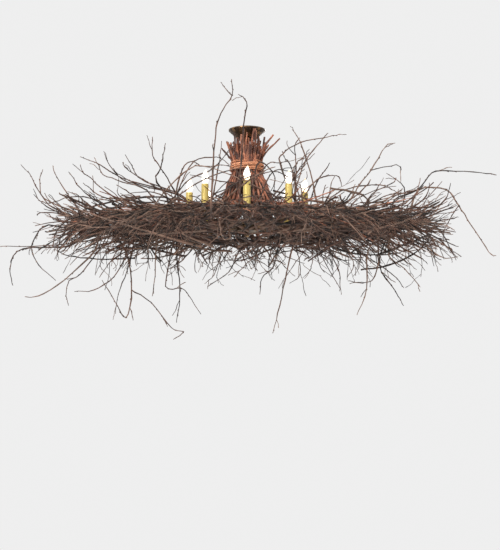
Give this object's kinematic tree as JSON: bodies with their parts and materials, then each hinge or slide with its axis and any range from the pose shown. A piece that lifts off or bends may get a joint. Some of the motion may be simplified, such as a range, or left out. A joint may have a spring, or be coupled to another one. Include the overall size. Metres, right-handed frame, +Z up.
{
  "type": "ceiling light",
  "caption": "Rustic semi-flush ceiling light: bronze canopy, a tied sheaf of sticks and a wide nest of twigs with a ring of candle lamps.",
  "frame": {"origin": "centre of the mounting crossbar's upper face, on the axis of the canopy, at the ceiling", "axes": "+Z up into the ceiling, +X along the long side of the nest, -Y towards the viewer in the picture"},
  "size_m": [1.7345, 1.3599, 0.7501],
  "materials": {
    "antique_bronze": "dark bronze lacquer rubbed back to warm metal on its edges",
    "zinc_steel": "zinc plated, satin",
    "green_steel": "green lacquered grounding screw",
    "brass": "plain rolled brass",
    "holder_moulding": "black moulded plastic",
    "lead_insulation": "black wire insulation",
    "connector_plastic": "orange moulded plastic",
    "gold_cover": "golden wax-coloured sleeve, satin gloss",
    "lamp_glass": "frosted glass, lit warm white",
    "filament_metal": "plain metal support and contact",
    "dark_rod": "dark brown paint",
    "split_willow": "orange-brown split willow, fibrous",
    "copper_bark": "copper-brown bark, dull, with cut ends",
    "dark_twig": "near-black brown bark, dull"
  },
  "bodies": {
    "root": {"canopy": "antique_bronze", "mounting_crossbar": "zinc_steel", "ground_screw": "green_steel", "threaded_nipple": "zinc_steel", "crossbar_locknut": "zinc_steel", "canopy_collar": "antique_bronze", "stem_tube": "antique_bronze", "hub_body": "antique_bronze", "hub_cover": "antique_bronze", "finial": "antique_bronze", "arms": "antique_bronze", "drip_cups": "antique_bronze", "socket_posts": "zinc_steel", "lampholder_bodies": "holder_moulding", "lampholder_shells": "brass", "lampholder_contacts": "brass", "stem_leads": "lead_insulation", "wire_connectors": "connector_plastic", "lamp_leads": "lead_insulation", "frame_hoops": "dark_rod", "frame_spokes": "dark_rod", "tie_band": "split_willow", "neck_sticks": "copper_bark", "spray_twigs": "dark_twig", "nest_left": "dark_twig", "nest_right": "dark_twig", "nest_front": "dark_twig", "nest_back": "dark_twig", "candle_cover_1": "gold_cover", "candle_cover_2": "gold_cover", "candle_cover_3": "gold_cover", "candle_cover_4": "gold_cover", "candle_cover_5": "gold_cover", "candle_cover_6": "gold_cover", "candle_cover_7": "gold_cover", "candle_cover_8": "gold_cover"},
    "bulb_1_core": {"bulb_1_filament": "filament_metal"},
    "bulb_1": {"bulb_1_base": "brass", "bulb_1_glass": "lamp_glass"},
    "bulb_2_core": {"bulb_2_filament": "filament_metal"},
    "bulb_2": {"bulb_2_base": "brass", "bulb_2_glass": "lamp_glass"},
    "bulb_3_core": {"bulb_3_filament": "filament_metal"},
    "bulb_3": {"bulb_3_base": "brass", "bulb_3_glass": "lamp_glass"},
    "bulb_4_core": {"bulb_4_filament": "filament_metal"},
    "bulb_4": {"bulb_4_base": "brass", "bulb_4_glass": "lamp_glass"},
    "bulb_5_core": {"bulb_5_filament": "filament_metal"},
    "bulb_5": {"bulb_5_base": "brass", "bulb_5_glass": "lamp_glass"},
    "bulb_6_core": {"bulb_6_filament": "filament_metal"},
    "bulb_6": {"bulb_6_base": "brass", "bulb_6_glass": "lamp_glass"},
    "bulb_7_core": {"bulb_7_filament": "filament_metal"},
    "bulb_7": {"bulb_7_base": "brass", "bulb_7_glass": "lamp_glass"},
    "bulb_8_core": {"bulb_8_filament": "filament_metal"},
    "bulb_8": {"bulb_8_base": "brass", "bulb_8_glass": "lamp_glass"}
  },
  "joints": [
    {"name": "bulb_1_rise", "type": "slide", "parent": "root", "child": "bulb_1_core", "axis": [0, 0, 1], "range_m": [0, 0.0089]},
    {"name": "bulb_1_screw", "type": "hinge", "parent": "bulb_1_core", "child": "bulb_1", "pos_m": [0, -0.203, -0.237], "axis": [0, 0, 1], "range_deg": [0, 1260]},
    {"name": "bulb_2_rise", "type": "slide", "parent": "root", "child": "bulb_2_core", "axis": [0, 0, 1], "range_m": [0, 0.0089]},
    {"name": "bulb_2_screw", "type": "hinge", "parent": "bulb_2_core", "child": "bulb_2", "pos_m": [0.14354, -0.14354, -0.237], "axis": [0, 0, 1], "range_deg": [0, 1260]},
    {"name": "bulb_3_rise", "type": "slide", "parent": "root", "child": "bulb_3_core", "axis": [0, 0, 1], "range_m": [0, 0.0089]},
    {"name": "bulb_3_screw", "type": "hinge", "parent": "bulb_3_core", "child": "bulb_3", "pos_m": [0.203, 0, -0.237], "axis": [0, 0, 1], "range_deg": [0, 1260]},
    {"name": "bulb_4_rise", "type": "slide", "parent": "root", "child": "bulb_4_core", "axis": [0, 0, 1], "range_m": [0, 0.0089]},
    {"name": "bulb_4_screw", "type": "hinge", "parent": "bulb_4_core", "child": "bulb_4", "pos_m": [0.14354, 0.14354, -0.237], "axis": [0, 0, 1], "range_deg": [0, 1260]},
    {"name": "bulb_5_rise", "type": "slide", "parent": "root", "child": "bulb_5_core", "axis": [0, 0, 1], "range_m": [0, 0.0089]},
    {"name": "bulb_5_screw", "type": "hinge", "parent": "bulb_5_core", "child": "bulb_5", "pos_m": [0, 0.203, -0.237], "axis": [0, 0, 1], "range_deg": [0, 1260]},
    {"name": "bulb_6_rise", "type": "slide", "parent": "root", "child": "bulb_6_core", "axis": [0, 0, 1], "range_m": [0, 0.0089]},
    {"name": "bulb_6_screw", "type": "hinge", "parent": "bulb_6_core", "child": "bulb_6", "pos_m": [-0.14354, 0.14354, -0.237], "axis": [0, 0, 1], "range_deg": [0, 1260]},
    {"name": "bulb_7_rise", "type": "slide", "parent": "root", "child": "bulb_7_core", "axis": [0, 0, 1], "range_m": [0, 0.0089]},
    {"name": "bulb_7_screw", "type": "hinge", "parent": "bulb_7_core", "child": "bulb_7", "pos_m": [-0.203, 0, -0.237], "axis": [0, 0, 1], "range_deg": [0, 1260]},
    {"name": "bulb_8_rise", "type": "slide", "parent": "root", "child": "bulb_8_core", "axis": [0, 0, 1], "range_m": [0, 0.0089]},
    {"name": "bulb_8_screw", "type": "hinge", "parent": "bulb_8_core", "child": "bulb_8", "pos_m": [-0.14354, -0.14354, -0.237], "axis": [0, 0, 1], "range_deg": [0, 1260]}
  ],
  "couplings": [
    {"joint": "bulb_1_rise", "follows": "bulb_1_screw", "m_per_rad": 0.00040425},
    {"joint": "bulb_2_rise", "follows": "bulb_2_screw", "m_per_rad": 0.00040425},
    {"joint": "bulb_3_rise", "follows": "bulb_3_screw", "m_per_rad": 0.00040425},
    {"joint": "bulb_4_rise", "follows": "bulb_4_screw", "m_per_rad": 0.00040425},
    {"joint": "bulb_5_rise", "follows": "bulb_5_screw", "m_per_rad": 0.00040425},
    {"joint": "bulb_6_rise", "follows": "bulb_6_screw", "m_per_rad": 0.00040425},
    {"joint": "bulb_7_rise", "follows": "bulb_7_screw", "m_per_rad": 0.00040425},
    {"joint": "bulb_8_rise", "follows": "bulb_8_screw", "m_per_rad": 0.00040425}
  ]
}
